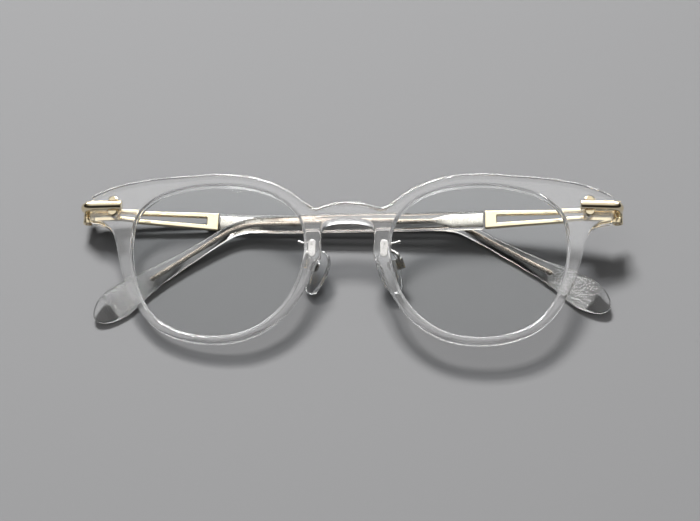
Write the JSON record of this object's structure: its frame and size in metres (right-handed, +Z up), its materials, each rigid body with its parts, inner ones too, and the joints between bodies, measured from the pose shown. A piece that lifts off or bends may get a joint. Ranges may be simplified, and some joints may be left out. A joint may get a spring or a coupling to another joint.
{
  "type": "reading glasses",
  "caption": "Folding reading glasses with a clear acetate front, gold hinges and temple sections, clear temple arms and screwed-on nose pads.",
  "frame": {"origin": "on the table, under the middle of the folded pair's bounding box", "axes": "+Z up from the table, +X along the front towards the right end as its face is seen from above, +Y towards the brow"},
  "size_m": [0.1466, 0.0466, 0.0207],
  "materials": {
    "clear_acetate": "clear, polished",
    "lens": "clear, coated",
    "gold": "pale gold plating, satin polish",
    "silver": "polished",
    "pad_silicone": "clear, soft"
  },
  "bodies": {
    "frame": {"front_frame": "clear_acetate", "left_lens": "lens", "right_lens": "lens", "left_hinge_bar": "gold", "right_hinge_bar": "gold", "left_upper_rivet": "gold", "left_lower_rivet": "gold", "right_upper_rivet": "gold", "right_lower_rivet": "gold", "left_hinge_plate": "gold", "right_hinge_plate": "gold", "left_hinge_screw": "gold", "right_hinge_screw": "gold", "left_pad_arm": "silver", "right_pad_arm": "silver", "left_pad_screw": "silver", "right_pad_screw": "silver"},
    "left_temple": {"left_temple_bar": "gold", "left_temple_core": "silver", "left_temple_arm": "clear_acetate"},
    "right_temple": {"right_temple_bar": "gold", "right_temple_core": "silver", "right_temple_arm": "clear_acetate"},
    "left_pad": {"left_pad_mount": "silver", "left_nose_pad": "pad_silicone"},
    "right_pad": {"right_pad_mount": "silver", "right_nose_pad": "pad_silicone"}
  },
  "joints": [
    {"name": "left_temple_hinge", "type": "hinge", "parent": "frame", "child": "left_temple", "pos_m": [-0.07178, 0.01529, 0.00611], "axis": [-0.0113, 0.9752, 0.2208], "range_deg": [0, 84]},
    {"name": "right_temple_hinge", "type": "hinge", "parent": "frame", "child": "right_temple", "pos_m": [0.07185, 0.01529, 0.0135], "axis": [0.0113, -0.9752, -0.2208], "range_deg": [0, 87]},
    {"name": "left_pad_pivot", "type": "hinge", "parent": "frame", "child": "left_pad", "pos_m": [-0.01007, 0.00023, 0.00763], "axis": [-0.6471, 0.5463, -0.5319], "range_deg": [-10, 10]},
    {"name": "right_pad_pivot", "type": "hinge", "parent": "frame", "child": "right_pad", "pos_m": [0.0129, 0.00023, 0.00881], "axis": [-0.6982, -0.5462, 0.4628], "range_deg": [-10, 10]}
  ]
}
